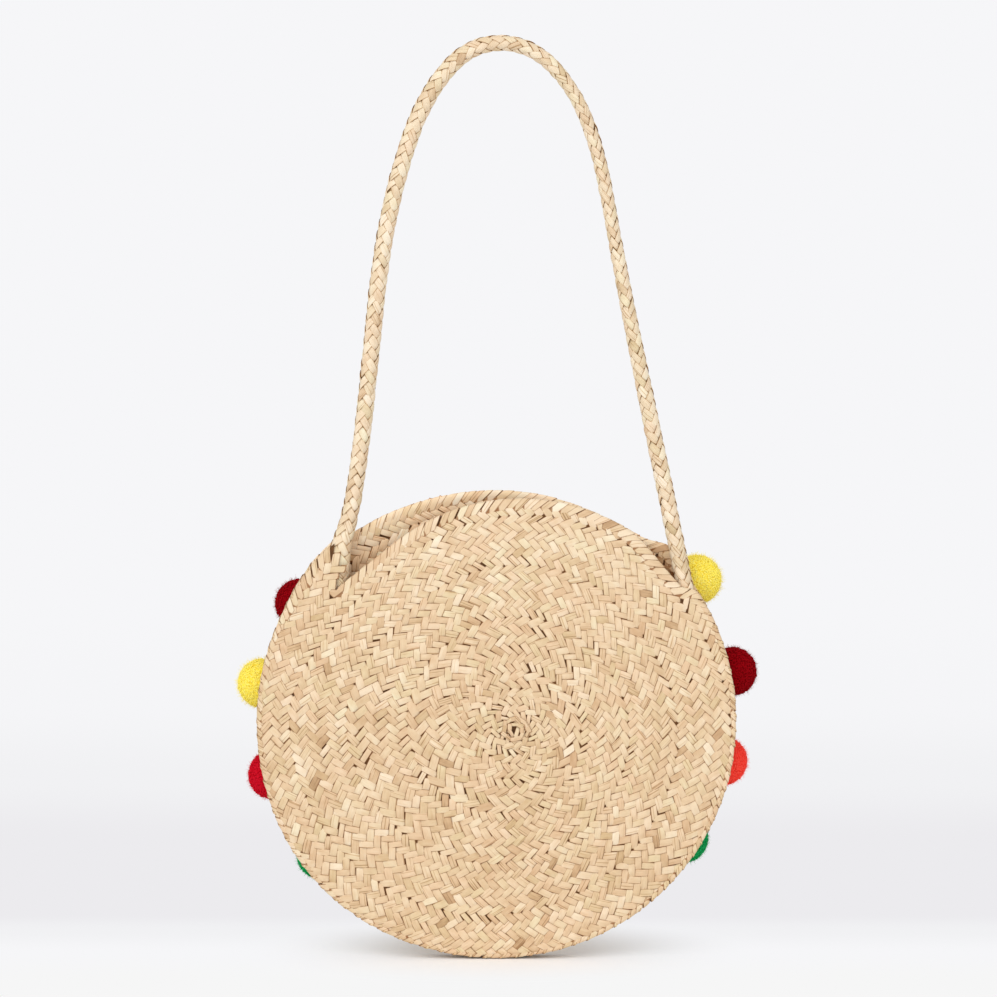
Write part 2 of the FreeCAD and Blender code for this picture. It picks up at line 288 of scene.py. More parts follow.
# One mesh from parts that hold points and faces, and may hold a material slot, tones, edges and grain runs
def buildPiece(name, parts, materials, pulls=None):
    points, faces, slots = [], [], []
    tones, edges, runs = [], [], []
    count = 0
    for part in parts:
        flat = part["points"].reshape(-1, 3)
        points.append(pulledOut(flat, pulls) if pulls else flat)
        faces += [[k + count for k in face] for face in part["faces"]]
        slots += np.broadcast_to(part.get("slot", 0), len(part["faces"])).tolist()
        tones.append(np.broadcast_to(part.get("tone", 0.5), len(flat)))
        edges.append(np.broadcast_to(part.get("edge", 0.0), len(flat)))
        runs.append(part.get("run", flat[:, (0, 2)] / mm))
        count += len(flat)
    mesh = bpy.data.meshes.new(name)
    mesh.from_pydata(np.concatenate(points).tolist(), [], faces)
    mesh.polygons.foreach_set("material_index", slots)
    for label, values in (("leafTone", tones), ("leafEdge", edges)):
        attribute = mesh.attributes.new(label, "FLOAT", "POINT")
        attribute.data.foreach_set("value", np.concatenate(values).astype(np.float32))
    corners = np.zeros(len(mesh.loops), np.int32)
    mesh.loops.foreach_get("vertex_index", corners)
    mesh.uv_layers.new(name="leafRun").data.foreach_set("uv", np.concatenate(runs)[corners].ravel())
    for material in materials:
        mesh.materials.append(material)
    mesh.update()
    piece = bpy.data.objects.new(name, mesh)
    linkAndSelect(piece)
    bpy.ops.object.shade_smooth_by_angle(angle=smoothAngle)
    return piece


def turnedOver(faces):
    return [face[::-1] for face in faces]


def copyFaces(faces, pointCount, copies):
    return [[k + pointCount * n for k in face] for n in range(copies) for face in faces]


# Faces of a tube of rings, with its ends closed, or joined where the rings run round
def tubeFaces(rings, sides, joined=False):
    faces = [[r * sides + k, r * sides + (k + 1) % sides,
              (r + 1) % rings * sides + (k + 1) % sides, (r + 1) % rings * sides + k]
             for r in range(rings if joined else rings - 1) for k in range(sides)]
    if not joined:
        faces += [list(range(sides))[::-1], [(rings - 1) * sides + k for k in range(sides)]]
    return faces


def drawTones(look, count, least):
    return np.clip(draw.normal(look["tone"], look["toneSpread"], count), least, 1)


# How each strip's grain runs, in millimetres along and across it, from a random start
def grainRun(count, along, across):
    start = (count, *[1] * (along.ndim - 1))
    along, across = (way + draw.uniform(0, grainShift, start) for way in (along, across))
    return np.stack(np.broadcast_arrays(along, across), -1).reshape(count, -1, 2)


# Shapes many leaves at once. Each leaf has its own length, width, height and tone
def shapeLeaves(leaf, look, halfLength, halfWidth, tuck):
    copies = len(halfLength)
    x, y, crown = leaf[0].T
    x = np.sign(x) * np.abs(x) ** look["endFlatness"]
    y = np.sign(y) * np.abs(y) ** look["flatness"]
    along = halfLength[:, None] * x
    across = halfWidth[:, None] * y * (1 - look["endTaper"] * x ** 4)
    lift = draw.uniform(-1, 1, (copies, 1)) * look["liftSpread"]
    tilt = draw.normal(look["tilt"], look["tiltSpread"], (copies, 1))
    pillow = look["crown"] * crown * (1 - 0.5 * y ** 2)
    height = look["rise"] * (1 - tuck * np.abs(x) ** 2.8) + pillow + lift + np.tan(tilt) * across
    edge = np.maximum(np.abs(y), np.abs(x) ** 1.5)
    tone = drawTones(look, copies, 0.02)
    odd = draw.random(copies) < look["oddShare"]
    tone[odd] = draw.uniform(*oddTones, odd.sum())
    return along, across, height, {
        "edge": np.tile(edge, copies), "tone": np.repeat(tone, len(x)),
        "run": grainRun(copies, along / mm, across / mm).reshape(-1, 2),
        "faces": copyFaces(leaf[1], len(x), copies),
    }


# The edge of each mouth: millimetres across and above the disc's centre, as the solids have it
panels = {
    "plainPanel": {"node": "plain_panel", "side": -1, "notch": (-133.4, 110.6), "left": (-93.8, 143.3),
                   "top": (20, 187.6), "turn": (117, 156.6), "right": (155, 112), "pulls": sag},
    "pompomPanel": {"node": "pompom_panel", "side": 1, "notch": (-130, 149.6), "left": (-100, 168.2),
                    "top": (0, 192.4), "turn": (110, 162.7), "right": (134, 146.6),
                    "pulls": [*sag, (28, 14, -3.0), (45, 4, 5.5)]},
}

# The circle through three places of a mouth, and the straight runs from it down to both corners
for panel in panels.values():
    notch, a, b, c, end = (np.array(panel[key]) * mm for key in ("notch", "left", "top", "turn", "right"))
    sums = np.array([b @ b - a @ a, c @ c - a @ a]) / 2
    panel["arcCentre"] = np.linalg.solve(np.array([b - a, c - a]), sums)
    panel["arcRadius"] = lengthOf(a - panel["arcCentre"])
    panel["arcStart"], panel["arcEnd"], panel["corners"] = a, c, (notch, end)
    panel["mouthTurns"] = [math.atan2(*place) for place in (notch, a, c, end)]
    panel["runsOut"] = [np.array([-slope[1], slope[0]]) for slope in (unit(a - notch), unit(end - c))]

# Painted shade inside the corners of the mouth, where the gap between the discs lies in shadow: millimetres
# across and above the disc's centre, and how deep the shade is
cornerShades = {"places": [(-135, 108, 0.12), (158, 110, 0.78)], "full": 10 * mm, "reach": 55 * mm}


# How much painted shade darkens the inside of a panel at a place
def cornerShadeAt(place):
    amount = 0
    for *middle, depth in cornerShades["places"]:
        distance = lengthOf(place - np.array(middle) * mm)
        amount = amount + depth * (1 - smoothStep(cornerShades["full"], cornerShades["reach"], distance))
    return amount


# How far inside a panel's outline a place lies
def insideBy(panel, place):
    toRim = bag["radius"] - lengthOf(place)
    toArc = panel["arcRadius"] - lengthOf(place - panel["arcCentre"])
    toArc = np.where(place[..., 1] > panel["arcCentre"][1], toArc, bag["radius"])
    leftCorner, rightCorner = panel["corners"]
    toLeft, toRight = ((corner - place) @ out for corner, out in zip(panel["corners"], panel["runsOut"]))
    toCut = np.where(place[..., 0] < panel["arcStart"][0], toLeft, toArc)
    toCut = np.where(place[..., 0] > panel["arcEnd"][0], toRight, toCut)
    toCut = np.where(place[..., 0] > rightCorner[0], rightCorner[1] - place[..., 1], toCut)
    return np.minimum(toRim, np.maximum(toCut, leftCorner[0] - place[..., 0]))


# How far the disc stands out from its rim plane
def domeHeight(place):
    distance = np.minimum(lengthOf(place), bag["radius"] * 1.02)
    return np.sqrt(bag["ball"] ** 2 - distance ** 2) - (bag["ball"] - bag["dome"])


# Lays leaves on the disc, raised from its outer face (face 1) or inner face (face -1)
def layOnDisc(panel, part, place, height, face):
    side = panel["side"]
    distance = bag["halfGap"] + domeHeight(place) + (bag["wall"] if face > 0 else 0) + face * height
    lean = face * height / bag["ball"]
    part["points"] = bag["centre"] + np.stack([place[..., 0] * (1 + lean), side * distance,
                                               place[..., 1] * (1 + lean)], -1)
    if side * face > 0:  # seen from +Y the outline turns the other way round
        part["faces"] = turnedOver(part["faces"])
    return part


# The plait: a braid that starts two rows wide in an eye beside the middle, and goes on six rows wide
coil = {
    "rowPitch": 7.6 * mm, "floatPitch": 8.35 * mm, "countStep": 0.05,
    "startRows": 2, "startTurns": 3, "rows": 6, "joinRoom": 0.35, "leastAhead": 0.7, "tightest": (0.6, 1.7),
    "eye": np.array([15, -5]) * mm, "eyeFade": 0.85,
    "startShare": 0.7, "fullAt": 62 * mm, "reach": 1.2,
    "mouthFade": math.radians(42), "mouthFrom": math.radians(-52), "mouthTo": math.radians(62),
    "slantSpread": math.radians(2.2), "alongSpread": 0.3 * mm, "radiusSpread": 0.2 * mm,
    "stripShare": 1.14, "widthSpread": 0.05, "lengthSpread": 0.03, "overlap": 2.4 * mm, "tuck": 1.7,
    "narrowShare": 0.02, "narrowAtJoin": 0.12, "narrowAtEye": 0.3, "eyeReach": 24 * mm, "narrow": 0.74,
    "sink": 0.75 * mm, "bandRelief": 0.35 * mm, "sheetDepth": 1.3 * mm,
    "paintedLightInside": 0.12, "paleTop": 0.07, "paleFrom": 60 * mm, "paleTo": 150 * mm,
    "edgeRoom": 4.6 * mm, "hornRoom": -2.5 * mm, "hornReach": 3 * mm, "braidRoom": 13 * mm,
    "rimRoom": -1.5 * mm, "rimFold": 0.7 * mm, "rimDrop": 2.5 * mm, "rimBand": 0.5 * mm,
    "bareReach": 8 * mm, "calmReach": 5 * mm,
}
floatLook = {
    "flatness": 0.5, "endFlatness": 0.5, "endTaper": 0.06, "liftSpread": 0.08 * mm, "tilt": math.radians(2.2),
    "tiltSpread": math.radians(1.6), "rise": 0.6 * mm, "crown": 0.36 * mm,
    "tone": 0.58, "toneSpread": 0.095, "oddShare": 0.014,
}


# The first turns are plaited finer than the rest
def coilShare(radius):
    return coil["startShare"] + (1 - coil["startShare"]) * smoothStep(0, coil["fullAt"], radius)


# Row radius against row count
rowCounts, rowRadii = [0.0], [0.0]
while rowRadii[-1] < bag["radius"] * coil["reach"]:
    share = coilShare(rowRadii[-1])
    rowCounts.append(rowCounts[-1] + coil["countStep"])
    rowRadii.append(rowRadii[-1] + coil["countStep"] * coil["rowPitch"] * share)


def rowRadius(count):
    return np.interp(count, rowCounts, rowRadii)


# Where a row of the coil runs: nearly round, but along the mouth it follows the mouth's edge
def coilPlace(panel, turn, radius):
    wrapped = wrapTurn(turn)
    leftEnd, arcFrom, arcTo, rightEnd = panel["mouthTurns"]
    nearest = np.clip(wrapped, leftEnd, rightEnd)
    way = heading(nearest)
    toward = way @ panel["arcCentre"]
    gap = panel["arcRadius"] ** 2 - panel["arcCentre"] @ panel["arcCentre"]
    leftRadius, rightRadius = ((corner @ out) / np.maximum(way @ out, 0.2)
                               for corner, out in zip(panel["corners"], panel["runsOut"]))
    mouthRadius = np.where(nearest < arcFrom, leftRadius, toward + np.sqrt(toward ** 2 + gap))
    mouthRadius = np.where(nearest > arcTo, rightRadius, mouthRadius)
    fade = 1 - smoothStep(0, coil["mouthFade"], np.abs(wrapped - nearest))
    dip = (1 - mouthRadius / bag["radius"]) * fade * smoothStep(0.1, 1, radius / bag["radius"])
    eyeShare = 1 - smoothStep(0, coil["eyeFade"], radius / bag["radius"])
    return heading(turn) * (radius * (1 - dip))[..., None] + coil["eye"] * eyeShare[..., None]


# A row's direction, and its way out from the eye, each as long as the plait is stretched there
def coilWays(panel, turn, radius):
    ahead = (coilPlace(panel, turn + 0.005, radius) - coilPlace(panel, turn - 0.005, radius)) / 0.01
    outward = (coilPlace(panel, turn, radius + 1 * mm) - coilPlace(panel, turn, radius - 1 * mm)) / (2 * mm)
    return ahead, outward


# Floats of one stretch of the coil, spaced by the real run along its band
def bandRows(panel, rows, turn, firstCount, lastTurn):
    turns, steps, begin = [], [], turn
    while turn < lastTurn:
        radius = rowRadius(firstCount + rows * ((turn - begin) / fullTurn + 0.5))
        if radius >= rowRadii[-1] - coil["rowPitch"]:
            break
        ahead = lengthOf(coilWays(panel, np.array(turn), radius)[0])
        step = coil["floatPitch"] * coilShare(radius) / max(ahead, coil["leastAhead"] * radius)
        turns.append(turn)
        steps.append(step)
        turn += step
    steps = np.repeat(np.array(steps)[:, None], rows, 1)
    row = np.broadcast_to(np.arange(rows), steps.shape)
    turns = np.array(turns)[:, None] + np.where(row % 2, 0.5, 0) * steps
    counts = firstCount + rows * (turns - begin) / fullTurn + row + 0.5
    signs = np.where(row % 2, 1, -1)
    return [v.ravel() for v in (turns, counts, signs, steps, (row + 0.5) / rows)]


# Every float of the coil: its turn, row count, slant, spacing and place across its band
def coilRows(panel):
    few, many = coil["startRows"], coil["rows"]
    change = coil["startTurns"] * fullTurn
    full = few * coil["startTurns"]
    start = bandRows(panel, few, 0.0, 0.0, change)
    rest = bandRows(panel, many, change, full + few - many, math.inf)
    # the wide band grows out of the narrow one: its rows begin where the narrow band's last turn leaves room
    taken = full + few * np.minimum((rest[0] - change) / fullTurn, 1)
    free = (rest[1] + coil["joinRoom"] > taken) | (rest[0] > change + fullTurn)
    return [np.concatenate([a, b[free]]) for a, b in zip(start, rest)]


# Which floats stay clear of the eye, of the outline and, inside, of the rim braid
def floatsKept(panel, turns, place, rowOut, face):
    inside = insideBy(panel, place)
    atRim = inside > bag["radius"] - lengthOf(place) - coil["rimBand"]
    room = np.where(atRim, coil["rimRoom"], coil["edgeRoom"])
    notch = panel["corners"][0]
    atHorn = (place[:, 0] < notch[0] + coil["hornReach"]) & (place[:, 1] > notch[1])
    room = np.where(atHorn, coil["hornRoom"], room)
    keep = (inside > room) & (rowOut >= coil["bareReach"])
    if face < 0:
        wrapped = wrapTurn(turns)
        atMouth = (wrapped > coil["mouthFrom"]) & (wrapped < coil["mouthTo"])
        keep &= atMouth | (lengthOf(place) < bag["radius"] - coil["braidRoom"])
    return keep


# The points of leaves that lie at their places, along one way and across another
def spreadOut(place, along, way, across, beside):
    return place[:, None] + along[..., None] * way[:, None] + across[..., None] * beside[:, None]


def plaitFloats(panel, leaf, face):
    turns, counts, signs, steps, bandPlace = coilRows(panel)
    rowOut = rowRadius(counts)
    radii = rowOut + draw.normal(0, coil["radiusSpread"], len(turns))
    turns = turns + draw.normal(0, coil["alongSpread"], len(turns)) / (rowOut + coil["calmReach"])
    place = coilPlace(panel, turns, radii)
    keep = floatsKept(panel, turns, place, rowOut, face)
    turns, radii, signs, steps, place, bandPlace = (
        v[keep] for v in (turns, radii, signs, steps, place, bandPlace))
    # one pitch along the row and one row out, as they lie there: the strips cross on this slanted net
    ahead, outward = coilWays(panel, turns, radii)
    pitch, rise = ahead * steps[:, None], outward * (coil["rowPitch"] * coilShare(radii))[:, None]
    tight = lengthOf(pitch) / lengthOf(rise)
    pitch = pitch * (np.clip(tight, *coil["tightest"]) / tight)[:, None]
    turnBy = math.pi / 4 + draw.normal(0, coil["slantSpread"], (len(turns), 1))
    cosine, sine = np.cos(turnBy), signs[:, None] * np.sin(turnBy)
    way, beside = cosine * pitch + sine * rise, cosine * rise - sine * pitch
    width = draw.normal(1, coil["widthSpread"], len(turns)).clip(0.85, 1.15)
    narrowShare = np.where(np.abs(bandPlace - 0.5) > 0.4, coil["narrowAtJoin"], coil["narrowShare"])
    narrowShare = np.where(radii < coil["eyeReach"], coil["narrowAtEye"], narrowShare)
    width[draw.random(len(turns)) < narrowShare] *= coil["narrow"]  # these leave a pinhole
    halfWidth = lengthOf(beside) / math.sqrt(2) / 2 * coil["stripShare"] * width
    halfLength = lengthOf(way) / math.sqrt(2) + coil["overlap"] / 2 * coilShare(radii)
    halfLength = halfLength * draw.normal(1, coil["lengthSpread"], len(turns))
    along, across, height, part = shapeLeaves(leaf, floatLook, halfLength, halfWidth, coil["tuck"])
    if face < 0:  # the inside is lifted by painted light, and darkened by painted shade towards the corners of the mouth
        shift = coil["paintedLightInside"] - cornerShadeAt(place)
        part["slot"] = 2
    else:  # the outside is paler towards the top
        shift = coil["paleTop"] * smoothStep(coil["paleFrom"], coil["paleTo"], place[:, 1])
    part["tone"] = np.clip(part["tone"] + np.repeat(shift, len(leaf[0])), 0, 1)
    spread = spreadOut(place, along, unit(way), across, unit(beside))
    relief = -coil["bandRelief"] * np.sin((bandPlace - 0.5) * math.pi) ** 2
    height = height - coil["sink"] + relief[:, None]
    # at the rim the strips bend over the edge
    distance = lengthOf(spread)
    over = np.maximum(distance - (bag["radius"] - coil["rimFold"]), 0)
    spread = spread * (1 - over / np.maximum(distance, 1 * mm))[..., None]
    return layOnDisc(panel, part, spread, height - np.minimum(over, coil["rimDrop"]), face)


# The start of the coil: narrow strips curled up tight in the eye
curl = {"leaves": 20, "turns": 2.3, "start": 0.8 * mm, "reach": 10.5 * mm, "slants": (-0.15, 0.3),
        "slantSpread": 0.15, "halfLength": 4.7, "lengthSpread": 0.5, "halfWidth": 1.8, "widthSpread": 0.2,
        "tuck": 1.2, "shingle": 0.7 * mm, "tone": 0.5}


def eyeCurl(panel, leaf, face):
    count = curl["leaves"]
    share = (np.arange(count) + 0.5) / count
    turn = curl["turns"] * fullTurn * np.sqrt(share)
    radius = curl["start"] + curl["reach"] * np.sqrt(share)
    place = coil["eye"] + heading(turn) * radius[:, None]
    slant = np.array(curl["slants"])[np.arange(count) % 2] + draw.normal(0, curl["slantSpread"], count)
    way = heading(turn + math.pi / 2 + slant)
    beside = np.stack([-way[:, 1], way[:, 0]], -1)
    halfLength = draw.normal(curl["halfLength"], curl["lengthSpread"], count) * mm
    halfWidth = draw.normal(curl["halfWidth"], curl["widthSpread"], count) * mm
    # the curl is toned darker than the floats: painted shade in its tight crevices
    look = {**floatLook, "tone": curl["tone"]}
    along, across, height, part = shapeLeaves(leaf, look, halfLength, halfWidth, curl["tuck"])
    spread = spreadOut(place, along, way, across, beside)
    height = height + curl["shingle"] * (along / halfLength[:, None] - 0.6)
    return layOnDisc(panel, part, spread, height, face)


# The sheet of crossing strips under the floats: the disc's own solid, drawn in from both faces
def shadedSheet(panel):
    source = frame["nodes"][panel["node"]]
    sheet = bpy.data.objects.new("shadedSheet", source.data.copy())
    linkAndSelect(sheet)
    bpy.ops.object.mode_set(mode="EDIT")
    bpy.ops.mesh.select_all(action="SELECT")
    bpy.ops.mesh.remove_doubles(threshold=0.01 * mm)
    bpy.ops.transform.shrink_fatten(value=-coil["sheetDepth"])
    bpy.ops.object.mode_set(mode="OBJECT")
    points, faces = takeMesh(sheet)
    return {"points": points, "faces": faces, "slot": 1}


# Faces of a closed slab: two layers of a grid of stations by lanes, joined round the edge
def slabFaces(stations, lanes):
    top = np.arange(stations * lanes).reshape(stations, lanes)
    under = top + stations * lanes
    quads = []
    for layer, step in ((top, 1), (under, -1)):
        for i in range(stations - 1):
            for j in range(lanes - 1):
                quads.append([layer[i, j], layer[i + 1, j], layer[i + 1, j + 1], layer[i, j + 1]][::step])
    rim, below = ([*layer[:, 0], *layer[-1, 1:], *layer[-2::-1, -1], *layer[0, -2:0:-1]]
                  for layer in (top, under))
    for k in range(len(rim)):
        after = (k + 1) % len(rim)
        quads.append([rim[k], below[k], below[after], rim[after]])
    return [[int(v) for v in quad] for quad in quads]


# Strips as closed slabs, from their upper and under sides: strips by stations by lanes
def slabStrips(upper, under, grain, edge):
    count, stations, lanes = upper.shape[:3]
    points = np.concatenate([layer.reshape(count, -1, 3) for layer in (upper, under)], 1)
    return {"points": points, "faces": copyFaces(slabFaces(stations, lanes), points.shape[1], count),
            "edge": np.tile(edge.ravel(), 2 * count), "run": np.concatenate([grain, grain], 1).reshape(-1, 2)}


# A panel's outline, once round clockwise as seen from the front, evenly spaced and with soft corners
def outlineLoop(panel, spacing=2.5 * mm, soften=3):
    rim = bag["radius"]
    left, right = panel["arcStart"], panel["arcEnd"]
    leftCorner, rightCorner = panel["corners"]
    leftTip = np.array([leftCorner[0], math.sqrt(rim ** 2 - leftCorner[0] ** 2)])
    rightTip = np.array([math.sqrt(rim ** 2 - rightCorner[1] ** 2), rightCorner[1]])
    roundTurns = np.linspace(math.atan2(*rightTip), fullTurn + math.atan2(*leftTip), 500)
    offLeft, offRight = left - panel["arcCentre"], right - panel["arcCentre"]
    arcTurns = np.linspace(math.atan2(*offLeft), math.atan2(*offRight), 160)
    loop = np.concatenate([
        heading(roundTurns) * rim,
        np.linspace(leftTip, leftCorner, 12)[1:-1],
        np.linspace(leftCorner, left, 12)[:-1],
        panel["arcCentre"] + heading(arcTurns) * panel["arcRadius"],
        np.linspace(right, rightCorner, 12)[1:],
        np.linspace(rightCorner, rightTip, 6)[1:-1],
    ])
    closed = np.concatenate([loop, loop[:1]])
    run = np.concatenate([[0], np.cumsum(lengthOf(np.diff(closed, axis=0)))])
    even = np.linspace(0, run[-1], int(run[-1] / spacing), endpoint=False)
    loop = np.stack([np.interp(even, run, closed[:, k]) for k in (0, 1)], -1)
    for _ in range(soften):
        loop = (np.roll(loop, 1, 0) + loop * 2 + np.roll(loop, -1, 0)) / 4
    return loop, run[-1]


# Places along an outline, and the ways from them into the disc
def alongLoop(loop, length, run):
    count = len(loop)
    at = (np.asarray(run) / length * count) % count
    low = np.floor(at).astype(int)
    part = (at - low)[..., None]
    place = loop[low % count] * (1 - part) + loop[(low + 1) % count] * part
    ahead = unit(loop[(low + 3) % count] - loop[(low - 2) % count])
    return place, np.stack([ahead[..., 1], -ahead[..., 0]], -1)


# Slanted leaf ends that are folded over the edge of a disc
edging = {
    "pitch": 7.6 * mm, "startSpread": 0.06, "width": 8.0 * mm, "widthSpread": 0.1, "stations": 9, "lanes": 3,
    "mouthDepth": 9.5 * mm, "rimDepth": 4.5 * mm, "depthSpread": 0.06, "rimShare": (0.985, 0.997),
    "rimTurns": (0.95, 1.15), "slant": 1.0, "slantSpread": 0.1, "foldPower": 2.2, "over": -0.4 * mm,
    "wallShare": 0.42, "wallPower": 0.6, "thickness": 0.5 * mm, "proud": 0.2 * mm, "liftSpread": 0.12 * mm,
    "tuck": -0.9 * mm, "tuckFrom": 0.7, "crown": 0.16 * mm, "shingle": 0.22 * mm, "grain": (12, 3),
    "tailRoom": 3.5 * mm, "tailDrop": 6 * mm, "tone": 0.6, "toneSpread": 0.13, "edgeShade": 0.95,
    "paintedLightInside": 0.12, "cornerShadeShare": 0.5, "innerFrom": 0.1,
}


def foldedEdge(panel):
    loop, length = outlineLoop(panel)
    count = int(length / edging["pitch"])
    start = (np.arange(count) + draw.normal(0, edging["startSpread"], count)) * length / count
    # beside the strap's left tail the plait runs on without a fold
    middle = alongLoop(loop, length, start)[0]
    notch = panel["corners"][0]
    folded = np.abs(middle[:, 0] - notch[0]) > edging["tailRoom"]
    folded |= middle[:, 1] < notch[1] - edging["tailDrop"]
    start, middle = start[folded], middle[folded]
    count = len(start)
    # strips by stations by lanes: q runs over the edge from one face to the other, lane across the strip
    each, q = (count, 1, 1), np.linspace(-1, 1, edging["stations"])[:, None]
    lane = np.linspace(-1, 1, edging["lanes"])
    width = edging["width"] / 2 * draw.normal(1, edging["widthSpread"], each).clip(0.75, 1.25)
    atRim = smoothStep(*edging["rimShare"], lengthOf(middle) / bag["radius"])
    atRim = atRim * smoothStep(*edging["rimTurns"], np.abs(np.arctan2(middle[:, 0], middle[:, 1])))
    depth = edging["mouthDepth"] + (edging["rimDepth"] - edging["mouthDepth"]) * atRim.reshape(each)
    depth = depth * draw.normal(1, edging["depthSpread"], each)
    slant = depth * edging["slant"] * draw.normal(1, edging["slantSpread"], each)
    fold = np.abs(q) ** edging["foldPower"]
    run = start.reshape(each) + slant * (np.sign(q) * fold) + width * lane
    place, inward = alongLoop(loop, length, run)
    place = place + inward * (edging["over"] + depth * fold)[..., None]
    throughWall = np.minimum(1, np.abs(q) / edging["wallShare"]) ** edging["wallPower"]
    deep = panel["side"] * (bag["halfGap"] + domeHeight(place) + bag["wall"] / 2)
    deep = deep + np.sign(q) * throughWall * (bag["wall"] / 2)
    cosine, sine = np.cos(q * math.pi / 2), np.broadcast_to(np.sin(q * math.pi / 2), run.shape)
    normal = np.stack([-inward[..., 0] * cosine, sine, -inward[..., 1] * cosine], -1)
    proud = edging["proud"] + draw.normal(0, edging["liftSpread"], each)
    proud = proud + edging["tuck"] * smoothStep(edging["tuckFrom"], 1, np.abs(q))
    proud = proud + edging["crown"] * (1 - lane ** 2) + edging["shingle"] * lane
    upper = np.stack([place[..., 0], deep, place[..., 1]], -1) + normal * proud[..., None] + bag["centre"]
    grain = grainRun(count, q[None] * edging["grain"][0], lane * edging["grain"][1])
    edge = edging["edgeShade"] * np.maximum(np.abs(lane), np.abs(q) ** 3)
    part = slabStrips(upper, upper - normal * edging["thickness"], grain, edge)
    part["faces"] = turnedOver(part["faces"])
    # the half that lies inside the bag takes the inside finish: painted light, and painted shade towards the
    # corners of the mouth, like the floats
    innerSide = np.tile(np.repeat(-panel["side"] * q, edging["lanes"]), 2)
    shift = edging["paintedLightInside"] - edging["cornerShadeShare"] * cornerShadeAt(middle)
    shift = shift[:, None] * (innerSide > edging["innerFrom"])
    part["tone"] = np.clip(drawTones(edging, count, 0.05)[:, None] + shift, 0, 1).ravel()
    part["slot"] = [2 if innerSide[face].mean() > edging["innerFrom"] else 0
                    for face in slabFaces(edging["stations"], edging["lanes"])] * count
    return part


faceLeaves = [(modelLeaf(4, 4), 1), (modelLeaf(4, 3), -1)]
panelFinishes = [finishes[key] for key in ("panelLeaf", "shadedLeaf", "paintedLightInnerLeaf")]
for name, panel in panels.items():
    parts = [lay(panel, leaf, face) for lay in (plaitFloats, eyeCurl) for leaf, face in faceLeaves]
    parts += [foldedEdge(panel), shadedSheet(panel)]
    piece = buildPiece(name, parts, panelFinishes, panel["pulls"])
    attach(piece, "bag")
    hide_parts(panel["node"])
    print(name, len(piece.data.polygons), "faces")


# A round braid of flat strips: rows of slanted floats round a core, every other row slanted the other way
def braid(path, look, leaf):
    run = np.concatenate([[0], np.cumsum(lengthOf(np.diff(path, axis=0)))])
    tangents = unit(np.gradient(path, run, axis=0))

    def onTube(at, turn, height):
        at = np.clip(at, 0, run[-1])
        place, ahead = (np.stack([np.interp(at, run, line[:, k]) for k in range(3)], -1)
                        for line in (path, tangents))
        beside = np.stack([ahead[..., 2], np.zeros_like(at), -ahead[..., 0]], -1)
        deep = (look["deep"] + height) * np.cos(turn)
        wide = (look["wide"] * np.interp(at / run[-1], *look["widthRun"]) + height) * np.sin(turn)
        return place + beside * wide[..., None] - np.array([0, 1, 0]) * deep[..., None]

    girth = math.pi * (look["wide"] + look["deep"])
    rows = look["rows"]
    rowWidth = girth / rows
    count = int(run[-1] / look["pitch"])
    pitch = run[-1] / count
    index = np.arange(count * rows)
    row = index % rows
    at = (index // rows + np.where(row % 2, 0.75, 0.25)) * pitch
    at = at + draw.normal(0, look["placeSpread"], len(index))
    turn = (row + look["rowShift"]) * fullTurn / rows
    sign = np.where(row % 2, 1, -1)
    slope = math.atan2(rowWidth, pitch)
    slant = slope + draw.normal(0, look["slantSpread"], len(index))
    halfLength = (rowWidth / math.sin(slope) + look["overlap"]) / 2
    halfLength = halfLength * draw.normal(1, look["lengthSpread"], len(index))
    halfWidth = pitch * math.sin(slope) / 2 * look["stripShare"]
    halfWidth = halfWidth * draw.normal(1, look["widthSpread"], len(index)).clip(0.8, 1.2)
    along, across, height, part = shapeLeaves(leaf, look, halfLength, halfWidth, look["tuck"])
    cosine, sine = np.cos(slant)[:, None], (sign * np.sin(slant))[:, None]
    ahead = at[:, None] + along * cosine - across * sine
    around = turn[:, None] + (along * sine + across * cosine) / (girth / fullTurn)
    part["points"] = onTube(ahead, around, height - look["sink"])
    part["faces"] = turnedOver(part["faces"])

    # the core that shows between the strips, toned dark as painted shade
    sides, rings = look["coreSides"], max(2, int(run[-1] / look["coreStep"]))
    ringAt = np.repeat(np.linspace(0, run[-1], rings), sides)
    ringTurn = np.tile(np.arange(sides) * fullTurn / sides, rings)
    core = onTube(ringAt, ringTurn, np.full(len(ringAt), -look["coreDepth"]))
    return [part, {"points": core, "faces": tubeFaces(rings, sides), "slot": 1, "tone": look["coreShadeTone"]}]


